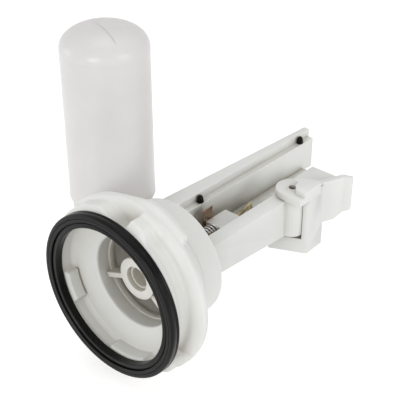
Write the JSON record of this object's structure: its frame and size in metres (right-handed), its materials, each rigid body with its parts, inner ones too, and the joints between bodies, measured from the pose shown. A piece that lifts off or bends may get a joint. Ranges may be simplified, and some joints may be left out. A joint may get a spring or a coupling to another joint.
{
  "type": "float valve",
  "caption": "White plastic float valve: bayonet neck with a rubber lip seal, an open channel arm, and a float on a pinned lever that closes an inner disc valve.",
  "frame": {"origin": "centre of the mouth's front face, on the valve's axis", "axes": "-Y out of the mouth, +Y along the arm, +Z along the float and the hinge pin"},
  "size_m": [0.1162, 0.1627, 0.137],
  "materials": {
    "white_acetal": "satin moulded",
    "float_plastic": "milky satin",
    "seal_rubber": "satin",
    "brass": "drawn, slightly dull",
    "bronze": "rolled, brown",
    "steel": "bright drawn"
  },
  "bodies": {
    "housing": {"seal_ring": "seal_rubber", "bayonet_collar": "white_acetal", "valve_drum": "white_acetal", "guide_spider": "white_acetal", "valve_seat": "white_acetal", "arm_rail": "white_acetal", "arm_wall": "white_acetal", "channel_floor": "white_acetal", "guide_block": "white_acetal", "guide_bush": "brass", "keeper_leaf": "bronze", "leaf_rivets": "steel", "ledge_buffers": "seal_rubber", "return_spring": "steel"},
    "valve": {"push_rod": "brass", "poppet": "white_acetal", "poppet_washer": "seal_rubber", "washer_nut": "brass", "rod_collar": "brass", "rod_eye": "white_acetal"},
    "lever": {"yoke": "white_acetal", "lever_arm": "white_acetal", "hinge_pin": "steel", "crank_pin": "steel", "float_post": "white_acetal", "float_cap": "float_plastic", "float_body": "float_plastic", "float_screw": "steel"}
  },
  "joints": [
    {"name": "lever_hinge", "type": "hinge", "parent": "housing", "child": "lever", "pos_m": [0.0156, 0.1093, 0], "axis": [0, 0, 1], "range_deg": [-18, 3]},
    {"name": "valve_slide", "type": "slide", "parent": "housing", "child": "valve", "axis": [0, 1, 0], "range_m": [-0.001, 0.00586], "deforming": ["return_spring"]}
  ],
  "couplings": [
    {"joint": "valve_slide", "follows": "lever_hinge", "m_per_rad": -0.0186}
  ]
}
